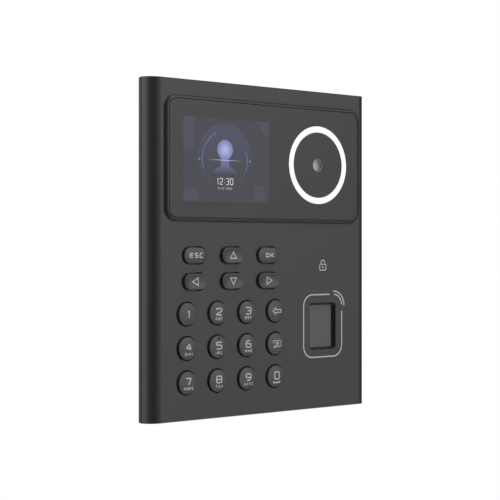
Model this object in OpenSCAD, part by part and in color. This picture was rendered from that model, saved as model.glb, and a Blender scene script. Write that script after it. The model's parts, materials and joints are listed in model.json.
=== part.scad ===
// Wall terminal with a colour screen, a face camera inside a ring light, a keypad and a
// fingerprint reader, on a steel wall plate.
// Every module is drawn facing the reader: x to the right, y up and z out of the wall.
// facing() then turns it so that the wall is the plane y = 0 and z points up. The origin is on
// the wall, behind the middle of the front face. Sizes are in millimetres.

/* [Housing] */
// Width of the front face
body_w = 127.6; // [126:0.2:130]
// Height of the front face
body_h = 148.8; // [148:0.2:152]
// Distance from the wall to the front face
face_out = 29; // [29:0.5:34]
// Depth of the front shell, from its face to the parting line
shell_side = 8; // [7.5:0.5:8.5]
// Gap of the parting line between the shell and the middle frame
part_gap = 0.25; // [0.1:0.05:0.5]
// Depth of the middle frame's edge that shows at the side
rim_t = 1.7; // [1.5:0.1:2.5]
// Radius of the face's left and right edges
edge_r = 5.6; // [4:0.2:6]
// Draft of the sides, in degrees
draft = 3.2; // [0:0.2:4]
// Wall thickness of the shell and the cover
skin = 2.2; // [2:0.1:2.4]
// Width of the box behind the middle frame
box_w = 100; // [98:1:102]
// Height of the box behind the middle frame
box_h = 124; // [122:1:126]

/* [Window] */
// Width of the raised frame around the glass
window_w = 115.8; // [115:0.1:117]
// Height of the raised frame
window_h = 54.9; // [54:0.1:57]
// Height of the window's centre above the middle of the face
window_up = 39.9; // [39:0.1:40]
// Corner radius of the raised frame
window_r = 6; // [5:0.2:7]
// How far the frame stands out of the face
window_raise = 1.5; // [1.2:0.1:1.8]
// Bevel of the frame's outer edge
window_bevel = 0.8; // [0.4:0.1:1.2]
// Width of the flat band and the groove between the frame's edge and the glass
window_band = 1.5; // [1.4:0.05:1.6]
// Thickness of the glass
glass_t = 1.5; // [1.2:0.1:1.5]

/* [Screen] */
// Width of the picture on the screen
screen_w = 48.96; // [47:0.01:49]
// Height of the picture on the screen
screen_h = 36.72; // [35:0.01:37]
// Centre of the picture, measured to the right of the face's middle
screen_x = -24.3; // [-25:0.1:-24]
// Height of the picture's centre, shared by the camera
screen_up = 39.8; // [39.5:0.1:40.2]

/* [Camera] */
// Centre of the camera, measured to the right of the face's middle
camera_x = 30.6; // [30.2:0.1:31]
// Outer radius of the lit ring
ring_outer_r = 18.25; // [18:0.05:18.5]
// Inner radius of the lit ring
ring_inner_r = 15.3; // [14.8:0.1:16]
// Radius of the camera's hole in the glass
camera_hole_r = 3.1; // [3:0.05:3.2]
// Depth of the lens below the glass
lens_depth = 2.4; // [2:0.1:2.6]
// Number of lamps in the ring light
ring_lamps = 20; // [12:1:24]

/* [Keys] */
// Travel of a key when it is pressed
key_travel = 0.9; // [0.5:0.1:0.9]
// How far the keys stand out of the face
key_raise = 1.5; // [1:0.1:1.6]
// Gap between a key and its opening
key_gap = 0.6; // [0.4:0.05:0.65]
// Width of the opening for a pill-shaped key
pill_w = 13.6; // [13.2:0.1:14]
// Height of the opening for a pill-shaped key
pill_h = 8.15; // [8:0.05:8.4]
// Spacing of the pill keys, side to side
pill_pitch_x = 21.1; // [20.8:0.1:21.4]
// Spacing of the pill keys, up and down
pill_pitch_y = 11.5; // [11.4:0.05:11.6]
// Left pill key's centre, measured to the right of the face's middle
pill_x = -41.7; // [-42:0.1:-41.5]
// Height of the upper row of pill keys
pill_up = -2.35; // [-2.5:0.05:-2.2]
// Diameter of the opening for a round key
round_d = 11.1; // [10.8:0.1:11.2]
// Spacing of the round keys, side to side
round_pitch_x = 16.9; // [16.8:0.1:17]
// Spacing of the round keys, up and down
round_pitch_y = 14.95; // [14.9:0.05:15.1]
// Left round key's centre, measured to the right of the face's middle
round_x = -45.9; // [-46.1:0.1:-45.7]
// Height of the top row of round keys
round_up = -27.9; // [-28:0.1:-27.7]

/* [Fingerprint reader] */
// Width of the opening for the finger
finger_w = 16.6; // [16:0.1:17]
// Height of the opening for the finger
finger_h = 21.95; // [21.5:0.05:22.5]
// Centre of the opening, measured to the right of the face's middle
finger_x = 35.05; // [34.8:0.05:35.5]
// Height of the opening's centre
finger_up = -35.9; // [-36.5:0.1:-35.5]
// Depth of the sensor's surface below the face
finger_depth = 1.95; // [1.8:0.05:2]
// How much each wall of the opening leans in
finger_taper = 0.9; // [0.6:0.1:1.2]

/* [Wall plate] */
// Width of the wall plate
plate_w = 92; // [90:1:94]
// Height of the wall plate
plate_h = 120; // [118:1:120]
// Thickness of the wall plate
plate_t = 1.5; // [1.2:0.1:1.5]
// Sideways spacing of the four wall screws
wall_screw_x = 76; // [75:1:77]
// Upright spacing of the four wall screws
wall_screw_y = 96; // [95:1:97]
// Spacing of the two screws of a round wall box
box_screw_x = 60; // [60:0.1:60.5]
// Radius of the wall screws' holes
wall_hole_r = 2.25; // [2:0.05:2.3]
// Width of the bay for the cables
bay_w = 50; // [50:0.5:50.5]
// Height of the bay for the cables
bay_h = 26; // [26:0.5:27]
// Height of the bay's centre
bay_up = 16; // [16:0.5:17]
// Travel of the tamper plunger once the wall is gone
tamper_travel = 1.5; // [1:0.1:1.5]

/* [Hidden] */
$fn = 64;

// Planes, as distances out of the wall
shell_back = face_out - shell_side;
shell_inner = face_out - skin;
rim_front = shell_back - part_gap;
rim_back = rim_front - rim_t;
plate_gap = 0.2;
cover_back = plate_t + plate_gap;
cover_inner = cover_back + skin;
edge_break = 0.35;
eps = 0.01;

// Window stack, from the glass inwards
glass_front = face_out + window_raise;
glass_back = glass_front - glass_t;
mask_t = 0.2;
mask_back = glass_back - mask_t;
glass_gap = 0.2;
glass_w = window_w - 2 * (window_band + glass_gap);
glass_h = window_h - 2 * (window_band + glass_gap);
glass_r = 4;
skirt_w = window_w - 1.5;
skirt_h = window_h - 1.5;
skirt_r = window_r - 0.75;
skirt_back = face_out - 2.6;
ledge = 2.6;

// Screen module
panel_border = 1.34;
panel_w = 60.3;
panel_h = 42.8;
panel_x = screen_x - screen_w / 2 - 2.6 + panel_w / 2;
panel_front = mask_back - 0.1;
panel_t = 2.5;
panel_back = panel_front - panel_t;
holder_gap = 0.3;
holder_wall = 1;
holder_front = panel_back + 1.4;
holder_back = panel_back - 1.4;
ear_x = [-42, -2];
ear_up = 29.6;
ear_r = 2.6;

// Ring light and camera
ring_board_t = 1.2;
ring_board_back = shell_inner - 2.4;
ring_board_front = ring_board_back + ring_board_t;
ring_mid_r = (ring_outer_r + ring_inner_r) / 2;
diffuser_lap = 0.7;
lens_front = glass_front - lens_depth;
barrel_r = 3.9;
barrel_front = shell_inner - 0.4;
holder_box = 10.5;
camera_back = face_out - 8.4;

// Key stack
key_front = face_out + key_raise;
key_flange = 0.75;
key_flange_t = 0.8;
key_back = shell_inner - 0.1 - key_flange_t;
mat_front = key_back - key_travel - 0.1;
mat_t = 0.6;
mat_pad_t = 0.5;
mat_back = mat_front - mat_pad_t - mat_t;
board_t = 1.6;
keypad_front = mat_back - 0.45;
keypad_back = keypad_front - board_t;
keypad_size = [68, 71.2];
keypad_at = [-20, -30.4];
keypad_r = 3.5;
dome_rise = 0.35;
pill_crown = 0.4;
pill_dish = 0.5;
dish_rim = 0.55;
post_r = 1.9;
pill_posts = [[-52.3, -8.1], [11.2, -8.1]];
round_posts = [for (i = [0.5, 2.5]) for (j = [0.5, 1.5])
    [round_x + i * round_pitch_x, round_up - j * round_pitch_y]];
keypad_posts = concat(pill_posts, round_posts);

// Fingerprint reader and card reader
platen_front = face_out - finger_depth;
platen_w = finger_w - 2 * finger_taper;
platen_h = finger_h - 2 * finger_taper;
platen_gap = 0.15;
platen_foot = 5.2;
platen_back = shell_inner - 2.6;
platen_foot_t = 1.5;
frame_back = platen_back - 2.2;
frame_wall = 2.6;
module_t = 4.2;

// Main board
main_back = 12;
main_front = main_back + board_t;
main_size = [94, 114];
standoff = [43, 53];
standoff_r = 3;

// Screws
pilot_r = 0.85;
small_shaft_r = 0.8;
small_head_r = 1.9;
small_head_t = 0.9;
small_len = 3.4;
case_screw = [57, 66];
case_boss_r = 3.6;
case_shaft_r = 1.2;
case_pilot_r = 1.25;
case_head_r = 2.6;
case_head_t = 1.8;
case_len = 6.2;

// Back of the housing
bay_wall = 1.6;
bay_floor_back = 9.6;
bay_floor_front = 11.2;
head_pocket_r = 5;
head_pocket = 3.2;
hook_x = 18;
hook_w = 10;
hook_up = 49;
hook_rise = 5;
hook_lip_back = 3.6;
hook_lip_front = 5;
flange_w = 24;
flange_gap = 0.2;
flange_out = 11;
lock_out = 7.5;
lock_hole_r = 1.7;
lock_insert_r = 1.5;
lock_shaft_r = 1.45;
tamper_at = [37, -10];
tamper_r = 2;
tamper_collar_r = 3.2;
tamper_collar_back = cover_inner + 0.5 + tamper_travel;
tamper_len = 8.3;
speaker_x = -25.5;
label_up = -28;
label_size = [50, 24];
header_back = 5.6;
small_header = [10.6, 7];
wide_header = [21, 7];
header_pitch = 12.2;
header_row = 6;
header_wall = 1;
pin_side = 0.64;

shell_colour = [0.29, 0.29, 0.29];
key_colour = [0.36, 0.36, 0.36];
board_colour = [0.05, 0.3, 0.14];
steel_colour = [0.72, 0.73, 0.74];
dark_colour = [0.08, 0.08, 0.09];
flex_colour = [0.75, 0.45, 0.12];

module facing() rotate([90, 0, 0]) children();

// Half the housing's width and height at a distance out of the wall
function half_w(out) = body_w / 2 + (face_out - out) * tan(draft);
function half_h(out) = body_h / 2 + (face_out - out) * tan(draft);

module rounded_rect(w, h, r) {
    square([w - 2 * r, h], center = true);
    square([w, h - 2 * r], center = true);
    for (x = [-1, 1]) for (y = [-1, 1])
        translate([x * (w / 2 - r), y * (h / 2 - r)]) circle(r);
}

module stadium(w, h) {
    square([w - h, h], center = true);
    for (x = [-1, 1]) translate([x * (w - h) / 2, 0]) circle(h / 2);
}

// A rounded rectangle between two distances out of the wall
module slab(w, h, r, back, front) {
    translate([0, 0, back]) linear_extrude(front - back) rounded_rect(w, h, r);
}

module pill(w, h, back, front) {
    translate([0, 0, back]) linear_extrude(front - back) stadium(w, h);
}

module rod(r, back, front) {
    translate([0, 0, back]) cylinder(r = r, h = front - back);
}

// A slab whose four straight front edges are bevelled
module bevelled_slab(w, h, r, bevel, back, front) {
    intersection() {
        slab(w, h, r, back, front);
        rotate([90, 0, 0]) linear_extrude(2 * h, center = true)
            bevelled_outline(w / 2, bevel, back, front);
        rotate([90, 0, 90]) linear_extrude(2 * w, center = true)
            bevelled_outline(h / 2, bevel, back, front);
    }
}

module bevelled_outline(half, bevel, back, front) {
    polygon([[-half - 1, back - 1], [half + 1, back - 1], [half + 1, front - bevel - 1],
        [half - bevel, front], [-half + bevel, front], [-half - 1, front - bevel - 1]]);
}

// The housing's outer form between two distances out of the wall
module body_block(back, front, soft_r) {
    turn = soft_r * (1 - sin(draft)) / cos(draft);
    at = half_w(front) - turn;
    side_x = at + soft_r * cos(draft);
    side_z = front - soft_r * (1 - sin(draft));
    high = half_h(front) - edge_break;
    intersection() {
        rotate([90, 0, 0]) linear_extrude(2 * half_h(back) + 2, center = true) {
            polygon([[-half_w(back), back], [half_w(back), back], [side_x, side_z],
                [at, front], [-at, front], [-side_x, side_z]]);
            for (s = [-1, 1]) translate([s * at, front - soft_r]) circle(soft_r);
        }
        rotate([90, 0, 90]) linear_extrude(2 * half_w(back) + 2, center = true)
            polygon([[-half_h(back), back], [half_h(back), back],
                [half_h(front - edge_break), front - edge_break], [high, front],
                [-high, front], [-half_h(front - edge_break), front - edge_break]]);
    }
}

module at_corners(p) {
    for (x = [-1, 1]) for (y = [-1, 1]) translate([x * p[0], y * p[1], 0]) children();
}

module at_pill(col, row) {
    translate([pill_x + col * pill_pitch_x, pill_up - row * pill_pitch_y, 0]) children();
}

module at_round(col, row) {
    translate([round_x + col * round_pitch_x, round_up - row * round_pitch_y, 0]) children();
}

module at_posts() {
    for (p = keypad_posts) translate([p[0], p[1], 0]) children();
}

module at_display_ears() {
    for (x = ear_x) for (s = [-1, 1]) translate([x, screen_up + s * ear_up, 0]) children();
}

module at_ring_ears() {
    for (s = [-1, 1]) translate([camera_x, screen_up + s * ear_up, 0]) children();
}

module at_standoffs() {
    at_corners(standoff) children();
}

module at_wall_screws() {
    at_corners([wall_screw_x / 2, wall_screw_y / 2]) children();
    for (s = [-1, 1]) translate([s * box_screw_x / 2, bay_up, 0]) children();
}

module at_small_headers() {
    for (i = [-1.5:1:1.5]) translate([i * header_pitch, bay_up + header_row, 0]) children();
}

module at_wide_headers() {
    for (s = [-1, 1]) translate([s * header_pitch, bay_up - header_row, 0]) children();
}

// A screw with its head's underside at a distance out of the wall and its point outwards
module screw(head_r, head_t, shaft_r, len) {
    difference() {
        rod(head_r, -head_t, 0);
        for (a = [0, 90]) rotate([0, 0, a])
            cube([1.2 * head_r, 0.3 * head_r, head_t], center = true);
    }
    rod(shaft_r, -0.2 * head_t, len);
}

module small_screw() {
    difference() {
        rod(small_head_r, -small_head_t, 0);
        for (a = [0, 90]) rotate([0, 0, a]) translate([0, 0, -small_head_t])
            cube([1.3 * small_head_r, 0.3 * small_head_r, small_head_t], center = true);
    }
    rod(small_shaft_r, -0.3 * small_head_t, small_len);
}

// Opening for the finger: a straight mouth whose four walls lean in
module finger_opening() {
    deep = finger_depth + 1;
    lean = finger_taper * deep / finger_depth;
    translate([finger_x, finger_up, face_out]) intersection() {
        rotate([90, 0, 0]) linear_extrude(2 * finger_h, center = true)
            polygon([[-finger_w / 2 + lean, -deep], [finger_w / 2 - lean, -deep],
                [finger_w / 2 + lean / deep, 1], [-finger_w / 2 - lean / deep, 1]]);
        rotate([90, 0, 90]) linear_extrude(2 * finger_w, center = true)
            polygon([[-finger_h / 2 + lean, -deep], [finger_h / 2 - lean, -deep],
                [finger_h / 2 + lean / deep, 1], [-finger_h / 2 - lean / deep, 1]]);
        slab(finger_w + 0.3, finger_h + 0.3, 1.7, -deep, 1);
    }
}

module front_shell() color(shell_colour) facing() difference() {
    union() {
        difference() {
            body_block(shell_back, face_out, edge_r);
            slab(body_w - 2 * skin, body_h - 2 * skin, 3, shell_back - 1, shell_inner);
        }
        at_corners(case_screw) rod(case_boss_r, shell_back, shell_inner + eps);
        at_posts() rod(post_r, keypad_front, shell_inner + eps);
        at_display_ears() rod(ear_r, panel_back, shell_inner + eps);
        at_ring_ears() rod(ear_r, ring_board_front, shell_inner + eps);
    }
    translate([0, window_up, 0])
        slab(skirt_w + 0.3, skirt_h + 0.3, skirt_r + 0.15, shell_inner - 1, face_out + 1);
    for (col = [0:2]) for (row = [0:1]) at_pill(col, row)
        pill(pill_w, pill_h, shell_inner - 1, face_out + 1);
    for (col = [0:3]) for (row = [0:2]) at_round(col, row)
        rod(round_d / 2, shell_inner - 1, face_out + 1);
    finger_opening();
    at_corners(case_screw) rod(case_pilot_r, shell_back - 1, shell_back + 5.4);
    at_posts() rod(pilot_r, keypad_front - 1, keypad_back + small_len + 0.2);
    at_display_ears() rod(pilot_r, panel_back - 1, holder_back + small_len + 0.2);
    at_ring_ears() rod(pilot_r, ring_board_front - 1, ring_board_back + small_len + 0.2);
}

module seal_ring(clear, back, front) {
    difference() {
        slab(body_w - 0.8 + clear, body_h - 0.8 + clear, 3, back, front);
        slab(body_w - 3.2 - clear, body_h - 3.2 - clear, 2, back - 1, front + 1);
    }
}

// The plate behind the front shell. It carries the seal and the rear cover's box.
module mid_frame() color(shell_colour) facing() difference() {
    intersection() {
        body_block(rim_back, rim_front, edge_break);
        slab(2 * half_w(rim_back), 2 * half_h(rim_back), 0.9, rim_back, rim_front);
    }
    slab(box_w - 2 * skin, box_h - 2 * skin, 3, rim_back - 1, rim_front + 1);
    at_corners(case_screw) rod(case_shaft_r + 0.2, rim_back - 1, rim_front + 1);
    seal_ring(0.1, rim_front - 0.7, rim_front + 1);
}

module rear_cover() color(shell_colour) facing() difference() {
    union() {
        difference() {
            slab(box_w, box_h, 5, cover_back, rim_back);
            slab(box_w - 2 * skin, box_h - 2 * skin, 3, cover_inner, rim_back + 1);
        }
        translate([0, bay_up, 0])
            slab(bay_w + 2 * bay_wall, bay_h + 2 * bay_wall, 3, cover_back, bay_floor_front);
        at_wall_screws() rod(head_pocket_r + 1.4, cover_back, cover_back + head_pocket + 1.6);
        for (s = [-1, 1]) translate([s * hook_x, hook_up + 2, 0])
            slab(hook_w + 7, 13, 2, cover_back, hook_lip_front + 2.2);
        at_standoffs() rod(standoff_r, cover_back, main_back);
        translate([0, 4 - box_h / 2, (cover_inner + flange_out) / 2])
            cube([9, 6, flange_out - cover_inner + 1], center = true);
    }
    translate([0, bay_up, 0]) slab(bay_w, bay_h, 2, cover_back - 1, bay_floor_back);
    at_small_headers()
        slab(small_header[0] + 0.6, small_header[1] + 0.6, 0.5, bay_floor_back - 1, main_back);
    at_wide_headers()
        slab(wide_header[0] + 0.6, wide_header[1] + 0.6, 0.5, bay_floor_back - 1, main_back);
    at_wall_screws() rod(head_pocket_r, cover_back - 1, cover_back + head_pocket);
    hook_pockets();
    at_standoffs() rod(pilot_r, main_back - 5, main_back + 1);
    translate([tamper_at[0], tamper_at[1], 0]) rod(tamper_r + 0.08, 0, cover_inner + 1);
    translate([0, -box_h / 2 - 1, lock_out]) rotate([-90, 0, 0]) cylinder(r = lock_insert_r, h = 8);
    sound_slots();
    vent_slots();
}

// Slots that take the wall plate's hooks, with room behind the wall for the lips
module hook_pockets() {
    for (s = [-1, 1]) translate([s * hook_x, hook_up, 0]) {
        translate([-hook_w / 2 - 1.2, -2, cover_back - 1])
            cube([hook_w + 2.4, hook_rise + 0.3, 3]);
        translate([-hook_w / 2 - 1.2, -2, hook_lip_back - 0.3])
            cube([hook_w + 2.4, hook_rise + 3, hook_lip_front - hook_lip_back + 0.9]);
    }
}

module sound_slots() {
    for (i = [0:6]) translate([speaker_x + (i - 3) * 3.4, -box_h / 2, 8])
        cube([1.4, 3 * skin, 5], center = true);
}

module vent_slots() {
    for (i = [0:5]) translate([0, -14 + i * 5, 14]) cube([box_w + 2, 1.6, 5.5], center = true);
}

module housing_seal() color(dark_colour) facing()
    seal_ring(0, rim_front - 0.7, shell_back - 0.05);

module window_bezel() color(shell_colour) facing() translate([0, window_up, 0]) difference() {
    union() {
        bevelled_slab(window_w, window_h, window_r, window_bevel, face_out + 0.02, glass_front);
        slab(skirt_w, skirt_h, skirt_r, skirt_back, face_out + 0.5);
    }
    slab(glass_w + 2 * glass_gap, glass_h + 2 * glass_gap, glass_r + glass_gap,
        mask_back, glass_front + 1);
    slab(glass_w - 2 * ledge, glass_h - 2 * ledge, 2, skirt_back - 1, mask_back + 1);
}

module window_glass() color([0.33, 0.34, 0.36, 0.5]) facing() difference() {
    translate([0, window_up, 0]) slab(glass_w, glass_h, glass_r, glass_back, glass_front);
    translate([camera_x, screen_up, 0]) rod(camera_hole_r, glass_back - 1, glass_front + 1);
}

module window_mask() color([0.26, 0.26, 0.27]) facing() {
    difference() {
        translate([0, window_up, 0]) slab(glass_w - 1, glass_h - 1, glass_r - 0.5,
            mask_back, glass_back);
        translate([screen_x, screen_up, 0])
            slab(screen_w + 0.4, screen_h + 0.4, 0.2, mask_back - 1, glass_back + 1);
        translate([camera_x, screen_up, 0]) rod(ring_outer_r, mask_back - 1, glass_back + 1);
    }
    translate([camera_x, screen_up, 0]) difference() {
        rod(ring_inner_r, mask_back, glass_back);
        rod(camera_hole_r, mask_back - 1, glass_back + 1);
    }
}

module display_panel() color([0.1, 0.11, 0.16]) facing() {
    translate([panel_x, screen_up, 0]) slab(panel_w, panel_h, 0.5, panel_back, panel_front - 0.3);
    translate([screen_x, screen_up, 0]) slab(screen_w + 2 * panel_border,
        screen_h + 2 * panel_border, 0.4, panel_front - 0.3 - eps, panel_front);
}

module display_holder() color([0.85, 0.85, 0.83]) facing() difference() {
    union() {
        translate([panel_x, screen_up, 0]) difference() {
            slab(panel_w + 2 * (holder_gap + holder_wall), panel_h + 2 * (holder_gap + holder_wall),
                1.5, holder_back, holder_front);
            slab(panel_w + 2 * holder_gap, panel_h + 2 * holder_gap, 0.6, panel_back - 0.1,
                holder_front + 1);
        }
        for (x = ear_x) translate([x, screen_up, 0])
            slab(2 * ear_r, 2 * (ear_up + ear_r), ear_r - 0.1, holder_back, panel_back - 0.1);
    }
    translate([panel_x, screen_up - 14, 0]) slab(26, 2.4, 0.5, holder_back - 1, panel_back);
    for (x = ear_x) for (s = [-1, 1]) translate([x, screen_up + s * ear_up, 0])
        rod(1.1, holder_back - 1, holder_front + 1);
    for (i = [-1:1]) translate([panel_x + i * 18, screen_up + 6, 0])
        slab(13, 16, 2, holder_back - 1, panel_back);
}

module display_flex() color(flex_colour) facing() translate([panel_x, screen_up - 14, 0])
    translate([-12, -0.15, main_front + 1.6]) cube([24, 0.3, panel_back - main_front - 1.65]);

module ring_diffuser() color([0.97, 0.97, 0.95]) facing() translate([camera_x, screen_up, 0])
    difference() {
        rod(ring_outer_r + diffuser_lap, mask_back - 1.6, mask_back - 0.02);
        rod(ring_inner_r - diffuser_lap, mask_back - 3, mask_back + 1);
    }

module ring_light_board() color([0.9, 0.9, 0.88]) facing() translate([camera_x, screen_up, 0])
    difference() {
        union() {
            rod(ring_outer_r + 1.3, ring_board_back, ring_board_front);
            slab(2 * ear_r, 2 * (ear_up + ear_r), ear_r - 0.1, ring_board_back, ring_board_front);
        }
        rod(8, ring_board_back - 1, ring_board_front + 1);
        for (s = [-1, 1]) translate([0, s * ear_up, 0])
            rod(1.1, ring_board_back - 1, ring_board_front + 1);
    }

module ring_leds() color([1, 0.95, 0.7]) facing() translate([camera_x, screen_up, 0])
    for (i = [0:ring_lamps - 1]) rotate([0, 0, (i + 0.5) * 360 / ring_lamps])
        translate([ring_mid_r, 0, ring_board_front]) {
            translate([-1, -1.4, 0]) cube([2, 2.8, 0.7]);
            translate([-0.7, -1, 0.7 - eps]) cube([1.4, 2, 0.2]);
        }

module camera_shroud() color([0.2, 0.2, 0.2]) facing() translate([camera_x, screen_up, 0])
    difference() {
        union() {
            rod(camera_hole_r + 1.5, barrel_front + 0.1, mask_back - 0.02);
            rod(ring_inner_r - 1, barrel_front + 0.1, barrel_front + 0.9);
        }
        rod(camera_hole_r, barrel_front - 1, mask_back + 1);
    }

module camera_lens() color([0.45, 0.45, 0.47]) facing() translate([camera_x, screen_up, 0])
    intersection() {
        rod(camera_hole_r - 0.05, barrel_front + 0.15, lens_front);
        translate([0, 0, lens_front - 12]) sphere(r = 12, $fn = 128);
    }

module camera_barrel() color(dark_colour) facing() translate([camera_x, screen_up, 0])
    difference() {
        rod(barrel_r, camera_back + 1.6, barrel_front);
        rod(2.4, barrel_front - 1.2, barrel_front + 1);
        for (i = [0:2]) translate([0, 0, barrel_front - 2.4 + 0.6 * i]) difference() {
            cylinder(r = barrel_r + 1, h = 0.3);
            cylinder(r = barrel_r - 0.25, h = 0.3);
        }
    }

module camera_holder() color([0.15, 0.15, 0.16]) facing() translate([camera_x, screen_up, 0])
    difference() {
        slab(holder_box, holder_box, 1, camera_back, barrel_front - 2.6);
        rod(barrel_r + 0.05, camera_back + 1.6, barrel_front);
    }

module camera_board() color(board_colour) facing() translate([camera_x, screen_up, 0]) difference() {
    slab(18, 18, 1, camera_back - 1.2, camera_back);
    at_corners([7.2, 7.2]) rod(0.9, camera_back - 2, camera_back + 1);
}

// Keys: a cap that stands through the shell and a flange that stops behind it
module pill_key(col, row, domed) color(key_colour) facing() at_pill(col, row) {
    w = pill_w - 2 * key_gap;
    h = pill_h - 2 * key_gap;
    crown_r = (pow(h / 2, 2) + pow(pill_crown, 2)) / (2 * pill_crown);
    dish_half = h / 2 - dish_rim;
    dish_r = (pow(dish_half, 2) + pow(pill_dish, 2)) / (2 * pill_dish);
    if (domed) intersection() {
        pill(w, h, key_back, key_front);
        capsule(w - h, crown_r, key_front - crown_r);
    } else difference() {
        pill(w, h, key_back, key_front);
        capsule(w - h, dish_r, key_front + dish_r - pill_dish);
    }
    pill(pill_w + 2 * key_flange, pill_h + 2 * key_flange, key_back, key_back + key_flange_t);
}

// A cylinder with round ends, lying along x
module capsule(len, r, out) {
    translate([0, 0, out]) {
        rotate([0, 90, 0]) cylinder(r = r, h = len, center = true, $fn = 128);
        for (x = [-1, 1]) translate([x * len / 2, 0, 0]) rotate([0, 90, 0]) sphere(r = r, $fn = 128);
    }
}

module round_key(col, row) color(key_colour) facing() at_round(col, row) {
    r = round_d / 2 - key_gap;
    dome_r = (pow(r, 2) + pow(dome_rise, 2)) / (2 * dome_rise);
    intersection() {
        rod(r, key_back, key_front);
        translate([0, 0, key_front - dome_r]) sphere(r = dome_r, $fn = 128);
    }
    rod(round_d / 2 + key_flange, key_back, key_back + key_flange_t);
}

module key_esc() pill_key(0, 0, true);
module key_up() pill_key(1, 0, false);
module key_ok() pill_key(2, 0, true);
module key_left() pill_key(0, 1, false);
module key_down() pill_key(1, 1, false);
module key_right() pill_key(2, 1, false);
module key_1() round_key(0, 0);
module key_2() round_key(1, 0);
module key_3() round_key(2, 0);
module key_back() round_key(3, 0);
module key_4() round_key(0, 1);
module key_5() round_key(1, 1);
module key_6() round_key(2, 1);
module key_menu() round_key(3, 1);
module key_7() round_key(0, 2);
module key_8() round_key(1, 2);
module key_9() round_key(2, 2);
module key_0() round_key(3, 2);

module keypad_mat() color([0.5, 0.5, 0.5]) facing() difference() {
    union() {
        translate([keypad_at[0], keypad_at[1], 0])
            slab(keypad_size[0] - 0.6, keypad_size[1] - 0.6, keypad_r, mat_back, mat_back + mat_t);
        for (col = [0:2]) for (row = [0:1]) at_pill(col, row)
            pill(pill_w - 3, pill_h - 3, mat_back, mat_front);
        for (col = [0:3]) for (row = [0:2]) at_round(col, row)
            rod(round_d / 2 - 1.2, mat_back, mat_front);
    }
    at_posts() rod(post_r + 0.3, mat_back - 1, mat_front + 1);
}

// Snap domes, each a low stepped cap on the keypad board
module snap_dome() {
    rod(3, keypad_front, keypad_front + 0.15);
    rod(2.2, keypad_front, keypad_front + 0.35);
}

module key_domes() color(steel_colour) facing() {
    for (col = [0:2]) for (row = [0:1]) at_pill(col, row) snap_dome();
    for (col = [0:3]) for (row = [0:2]) at_round(col, row) snap_dome();
}

module keypad_board() color(board_colour) facing() difference() {
    translate([keypad_at[0], keypad_at[1], 0])
        slab(keypad_size[0], keypad_size[1], keypad_r, keypad_back, keypad_front);
    at_posts() rod(1.1, keypad_back - 1, keypad_front + 1);
}

module fingerprint_platen() color([0.36, 0.36, 0.37]) facing() translate([finger_x, finger_up, 0]) {
    slab(platen_w - 2 * platen_gap, platen_h - 2 * platen_gap, 0.8, platen_back, platen_front);
    slab(platen_w + platen_foot, platen_h + platen_foot, 1, platen_back,
        platen_back + platen_foot_t);
}

module fingerprint_frame() color(dark_colour) facing() translate([finger_x, finger_up, 0]) {
    foot_w = platen_w + platen_foot + 0.3;
    foot_h = platen_h + platen_foot + 0.3;
    difference() {
        slab(foot_w + 2 * frame_wall, foot_h + 2 * frame_wall, 2, frame_back, shell_inner - 0.05);
        slab(foot_w, foot_h, 1.1, frame_back - 1, platen_back + platen_foot_t + 0.1);
        slab(platen_w, platen_h, 0.9, frame_back - 1, shell_inner + 1);
    }
}

module fingerprint_module() color([0.12, 0.13, 0.15]) facing() translate([finger_x, finger_up, 0]) {
    slab(platen_w + platen_foot, platen_h + platen_foot, 1, platen_back - module_t,
        platen_back - 0.05);
    translate([0, -4, 0]) slab(14, 6, 0.5, platen_back - module_t - 1.4,
        platen_back - module_t + eps);
}

// Ribbon that leaves the sensor sideways and drops to the main board
module fingerprint_flex() color(flex_colour) facing() translate([finger_x, finger_up, 0]) {
    top = platen_back - module_t - 1.2;
    run = 4;
    translate([-5, -7 - run, top - 0.3]) cube([10, run, 0.3]);
    translate([-5, -7 - run, main_front + 1.4]) cube([10, 0.3, top - main_front - 1.4]);
}

module card_antenna() color([0.1, 0.2, 0.35]) facing() translate([finger_x, finger_up, 0]) {
    back = shell_inner - 1.2;
    difference() {
        slab(38, 46, 4, back, back + 0.8);
        slab(26, 32, 2, back - 1, back + 2);
    }
    for (i = [0:3]) difference() {
        slab(36 - 2.4 * i, 44 - 2.4 * i, 3, back + 0.8 - eps, back + 1);
        slab(34.8 - 2.4 * i, 42.8 - 2.4 * i, 2.4, back, back + 2);
    }
}

module main_board() color(board_colour) facing() difference() {
    slab(main_size[0], main_size[1], 2, main_back, main_front);
    at_standoffs() rod(1.1, main_back - 1, main_front + 1);
}

module processor_shield() color(steel_colour) facing() translate([-18, 40, 0]) difference() {
    slab(36, 17, 1, main_front, main_front + 2.6);
    slab(35.2, 16.2, 0.6, main_front - 1, main_front + 2.3);
}

module door_relay() color([0.1, 0.1, 0.12]) facing() translate([38, 5, 0]) {
    slab(18.5, 10.5, 0.8, main_front + 0.3, main_front + 7.6);
    for (x = [-8, 0, 8]) translate([x, 3, 0]) rod(0.4, main_front, main_front + 0.4);
}

module capacitors() color([0.2, 0.22, 0.3]) facing()
    for (i = [0:2]) translate([21, -3 + 8.5 * i, 0]) difference() {
        rod(3.15, main_front, main_front + 6.8);
        for (a = [0, 90]) rotate([0, 0, a]) translate([0, 0, main_front + 6.8])
            cube([4, 0.3, 0.4], center = true);
    }

module battery_holder() color(dark_colour) facing() translate([-28, -22, 0]) difference() {
    rod(9.8, main_front, main_front + 3);
    rod(8.2, main_front + 1.2, main_front + 4);
    translate([0, -9, main_front + 3]) cube([9, 6, 3.6], center = true);
}

module clock_battery() color(steel_colour) facing() translate([-28, -22, 0]) {
    rod(8, main_front + 1.2, main_front + 3.6);
    rod(7.2, main_front + 3.6 - eps, main_front + 4.4);
}

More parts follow.
